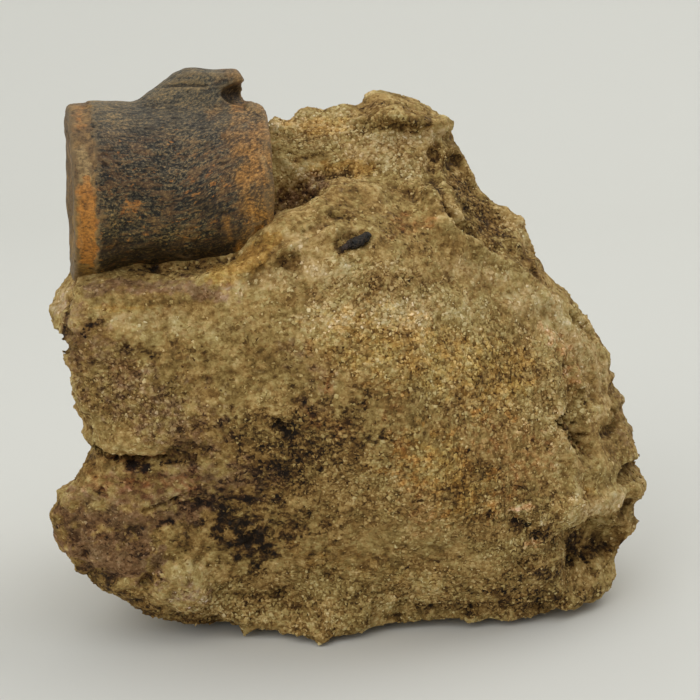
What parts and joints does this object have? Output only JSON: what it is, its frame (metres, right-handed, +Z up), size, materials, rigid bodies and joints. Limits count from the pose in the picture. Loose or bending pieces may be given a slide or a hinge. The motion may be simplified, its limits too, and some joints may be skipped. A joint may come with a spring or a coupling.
{
  "type": "fossil dinosaur vertebra",
  "caption": "Spool-shaped fossil tail vertebra with the broken root of its arch, half freed from a rough block of coarse brown sandstone that rests on a flat underside.",
  "frame": {"origin": "in the resting plane, under the middle of the whole specimen's bounding box", "axes": "+Z up; -Y towards the display side, on which the bone lies at the upper left; +X to the viewer's right"},
  "size_m": [0.1298, 0.0886, 0.1186],
  "materials": {
    "sandstone": "rough, coarse grained",
    "fossil_bone": "satin, finely striated",
    "dark_bone": "satin"
  },
  "bodies": {
    "root": {"sandstone_matrix": "sandstone", "vertebra": "fossil_bone", "bone_chip": "dark_bone"}
  },
  "joints": []
}
